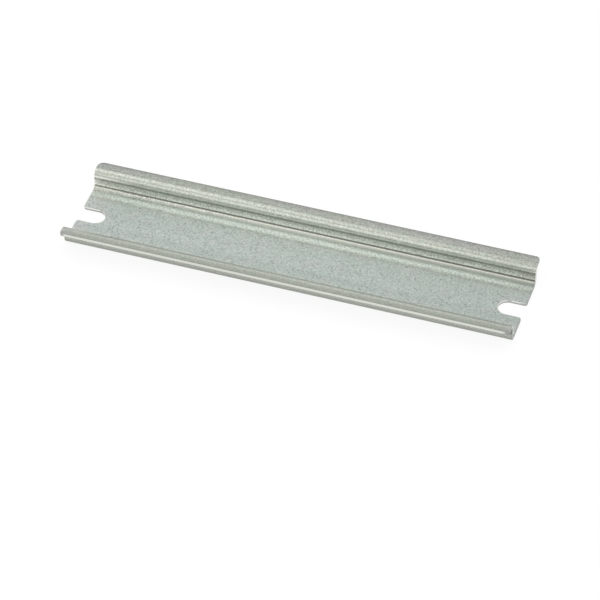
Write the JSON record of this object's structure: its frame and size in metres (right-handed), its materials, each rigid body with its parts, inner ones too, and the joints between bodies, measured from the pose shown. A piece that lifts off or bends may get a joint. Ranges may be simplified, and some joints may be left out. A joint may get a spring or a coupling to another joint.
{
  "type": "din rail",
  "caption": "Short length of 35 mm top-hat mounting rail in zinc-plated steel, with an open screw slot in each end.",
  "frame": {"origin": "centre of the web's back face, which lies on the floor or the panel", "axes": "+X along the rail, +Y across it towards one flange, +Z out of the channel's open side"},
  "size_m": [0.14, 0.035, 0.0075],
  "materials": {
    "zinc_plated_steel": "satin"
  },
  "bodies": {
    "root": {"rail": "zinc_plated_steel"}
  },
  "joints": []
}
